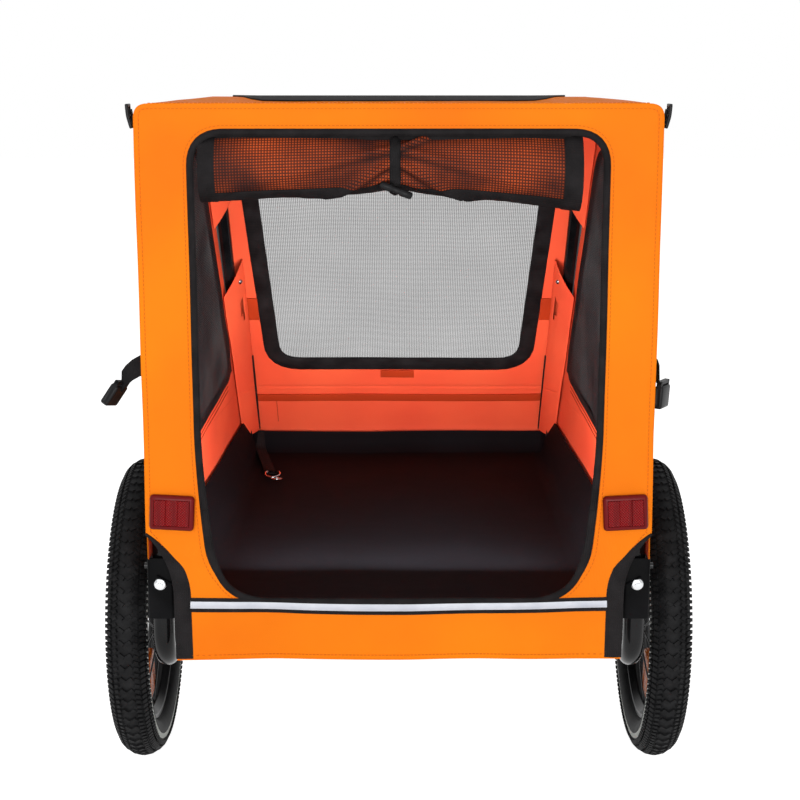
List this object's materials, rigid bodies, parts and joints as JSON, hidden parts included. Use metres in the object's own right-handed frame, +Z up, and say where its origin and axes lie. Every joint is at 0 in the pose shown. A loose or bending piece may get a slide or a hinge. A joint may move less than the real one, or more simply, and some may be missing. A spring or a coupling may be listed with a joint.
{
  "type": "dog bike trailer",
  "caption": "Folding cloth dog trailer for a bicycle: spoked wheels, tube hoops, mesh windows, roll-up rear door, swivelling drawbar and hitch.",
  "frame": {"origin": "centre of the overall box, on the ground under the tyres", "axes": "+Y towards the hitch, +X to the right, +Z up"},
  "size_m": [0.7466, 1.4738, 0.8812],
  "materials": {
    "tyre": "moulded tread rubber",
    "rim_black": "black anodised",
    "spoke_black": "black coated wire",
    "hub_black": "black anodised",
    "steel": "plated steel",
    "chrome": "bright chrome",
    "frame_black": "gloss black powder coat",
    "bracket_black": "satin black",
    "hitch_zinc": "zinc plated",
    "orange_cloth": "coated woven polyester",
    "black_mesh": "open polyester mesh",
    "floor_cloth": "coated woven polyester",
    "webbing": "woven webbing",
    "buckle_plastic": "moulded acetal",
    "reflector_red": "prismatic lens",
    "reflector_amber": "prismatic lens",
    "stripe_silver": "retroreflective tape"
  },
  "bodies": {
    "chassis": {"axle_right": "steel", "axle_left": "steel", "floor_frame": "frame_black", "floor_cross_tubes": "frame_black", "wheel_bow_right": "frame_black", "wheel_bow_left": "frame_black", "axle_receivers": "frame_black", "bow_gussets": "frame_black", "rear_bracket_right": "bracket_black", "rear_bracket_left": "bracket_black", "bracket_bolts": "chrome", "front_brackets": "bracket_black", "hoop_pivot_pins": "steel", "rear_panel": "orange_cloth", "roof_panel": "orange_cloth", "side_wall_right": "orange_cloth", "side_wall_left": "orange_cloth", "side_mesh_right": "black_mesh", "side_mesh_left": "black_mesh", "front_wall": "orange_cloth", "front_mesh": "black_mesh", "roof_strip": "webbing", "floor_sheet": "floor_cloth", "door_roll": "orange_cloth", "door_strap": "webbing", "door_toggle": "buckle_plastic", "rear_reflector_right": "reflector_red", "rear_reflector_left": "reflector_red", "reflective_stripe": "stripe_silver", "side_straps": "webbing", "side_buckles": "buckle_plastic", "corner_buckles": "buckle_plastic", "tether_strap": "webbing", "tether_ring": "chrome", "drawbar_socket": "frame_black", "drawbar_bolt": "steel"},
    "wheel_left": {"tyre_left": "tyre", "rim_left": "rim_black", "hub_left": "hub_black", "bearings_left": "steel", "spokes_left": "spoke_black", "spoke_reflector_left": "reflector_amber", "tyre_valve_left": "steel"},
    "wheel_right": {"tyre_right": "tyre", "rim_right": "rim_black", "hub_right": "hub_black", "bearings_right": "steel", "spokes_right": "spoke_black", "spoke_reflector_right": "reflector_amber", "tyre_valve_right": "steel"},
    "button_left": {"release_button_left": "steel"},
    "button_right": {"release_button_right": "steel"},
    "rear_hoop": {"rear_hoop": "frame_black"},
    "front_hoop": {"front_hoop": "frame_black"},
    "knob_left": {"clamp_knob_left": "buckle_plastic"},
    "knob_right": {"clamp_knob_right": "buckle_plastic"},
    "drawbar": {"drawbar": "frame_black"},
    "hitch_yoke": {"hitch_yoke": "hitch_zinc", "hitch_pins": "steel"},
    "hitch_link": {"hitch_link": "hitch_zinc"}
  },
  "joints": [
    {"name": "wheel_left_spin", "type": "hinge", "parent": "chassis", "child": "wheel_left", "pos_m": [-0.34, -0.4766, 0.2], "axis": [1, 0, 0], "continuous": true},
    {"name": "button_left_press", "type": "slide", "parent": "chassis", "child": "button_left", "axis": [1, 0, 0], "range_m": [0, 0.003], "stiffness_N_per_m": 800},
    {"name": "knob_left_turn", "type": "hinge", "parent": "chassis", "child": "knob_left", "pos_m": [-0.2589, -0.7026, 0.326], "axis": [-1, 0, 0], "range_deg": [0, 540]},
    {"name": "wheel_right_spin", "type": "hinge", "parent": "chassis", "child": "wheel_right", "pos_m": [0.34, -0.4766, 0.2], "axis": [1, 0, 0], "continuous": true},
    {"name": "button_right_press", "type": "slide", "parent": "chassis", "child": "button_right", "axis": [-1, 0, 0], "range_m": [0, 0.003], "stiffness_N_per_m": 800},
    {"name": "knob_right_turn", "type": "hinge", "parent": "chassis", "child": "knob_right", "pos_m": [0.2589, -0.7026, 0.326], "axis": [1, 0, 0], "range_deg": [0, 540]},
    {"name": "rear_hoop_fold", "type": "hinge", "parent": "chassis", "child": "rear_hoop", "pos_m": [0, -0.7026, 0.326], "axis": [-1, 0, 0], "range_deg": [0, 85], "deforming": ["rear_panel", "roof_panel", "side_wall_left", "side_wall_right", "side_mesh_left", "side_mesh_right", "front_wall", "front_mesh", "roof_strip", "door_roll", "door_strap", "side_straps"]},
    {"name": "front_hoop_fold", "type": "hinge", "parent": "chassis", "child": "front_hoop", "pos_m": [0, 0.0834, 0.326], "axis": [1, 0, 0], "range_deg": [0, 51]},
    {"name": "drawbar_swivel", "type": "hinge", "parent": "chassis", "child": "drawbar", "pos_m": [-0.2, 0.1124, 0.2409], "axis": [0, 0, -1], "range_deg": [0, 90]},
    {"name": "hitch_yaw", "type": "hinge", "parent": "drawbar", "child": "hitch_yoke", "pos_m": [-0.2, 0.6324, 0.2409], "axis": [0, 0, 1], "range_deg": [-60, 60]},
    {"name": "hitch_pitch", "type": "hinge", "parent": "hitch_yoke", "child": "hitch_link", "pos_m": [-0.2, 0.6679, 0.2409], "axis": [1, 0, 0], "range_deg": [-30, 30]}
  ],
  "couplings": [
    {"joint": "front_hoop_fold", "follows": "rear_hoop_fold", "ratio": 0.6}
  ]
}
